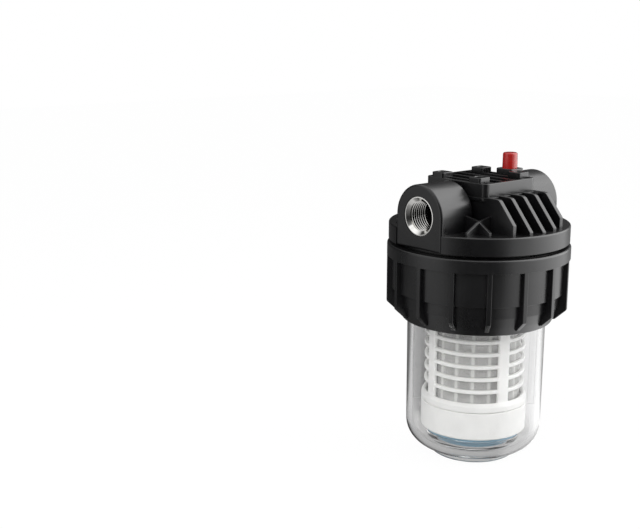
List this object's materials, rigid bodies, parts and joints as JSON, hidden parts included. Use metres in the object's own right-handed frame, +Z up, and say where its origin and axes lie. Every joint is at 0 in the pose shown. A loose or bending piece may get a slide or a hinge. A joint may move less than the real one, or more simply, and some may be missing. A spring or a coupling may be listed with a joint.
{
  "type": "water filter",
  "caption": "Water filter with a black moulded head, threaded side ports, a ribbed collar nut, a clear bowl around a mesh cartridge, and a red air release button.",
  "frame": {"origin": "centre of the bowl's foot ring, on the surface that the filter stands on", "axes": "+Z up along the bowl's and cartridge's axis, +X out of the inlet port, which has the red air release button above it"},
  "size_m": [0.118, 0.118, 0.1978],
  "materials": {
    "black_polypropylene": "satin",
    "clear_bowl": "clear",
    "white_polypropylene": "satin",
    "woven_mesh": "woven wire",
    "nickel_plated_brass": "nickel plated",
    "spring_steel": "bright",
    "black_rubber": "matte",
    "blue_gasket": "smooth",
    "red_button": "glossy"
  },
  "bodies": {
    "head": {"head": "black_polypropylene", "inlet_insert": "nickel_plated_brass", "outlet_insert": "nickel_plated_brass", "inlet_insert_o_ring": "black_rubber", "outlet_insert_o_ring": "black_rubber", "relief_gland_bush": "white_polypropylene", "relief_stem_o_ring": "black_rubber", "relief_spring": "spring_steel"},
    "button": {"relief_button": "red_button", "relief_stem": "spring_steel", "relief_valve_disc": "black_rubber", "relief_stem_clip": "spring_steel"},
    "bowl": {"bowl": "clear_bowl", "bowl_o_ring": "black_rubber", "slip_ring": "white_polypropylene", "cartridge_cage": "white_polypropylene", "cartridge_core": "white_polypropylene", "mesh_sleeve": "woven_mesh", "cartridge_bottom_cap": "white_polypropylene", "cartridge_top_cap": "white_polypropylene", "upper_gasket": "black_rubber", "lower_gasket": "blue_gasket"},
    "collar": {"collar_nut": "black_polypropylene"}
  },
  "joints": [
    {"name": "bowl_drop", "type": "slide", "parent": "head", "child": "bowl", "axis": [0, 0, -1], "range_m": [0, 0.01801]},
    {"name": "collar_turn", "type": "hinge", "parent": "bowl", "child": "collar", "pos_m": [0, 0, 0.12], "axis": [0, 0, -1], "range_deg": [0, 1080]},
    {"name": "button_press", "type": "slide", "parent": "head", "child": "button", "axis": [0, 0, -1], "range_m": [0, 0.003], "stiffness_N_per_m": 800, "springref_m": -0.002, "deforming": ["relief_spring"]}
  ],
  "couplings": [
    {"joint": "bowl_drop", "follows": "collar_turn", "m_per_rad": 0.00095493}
  ]
}
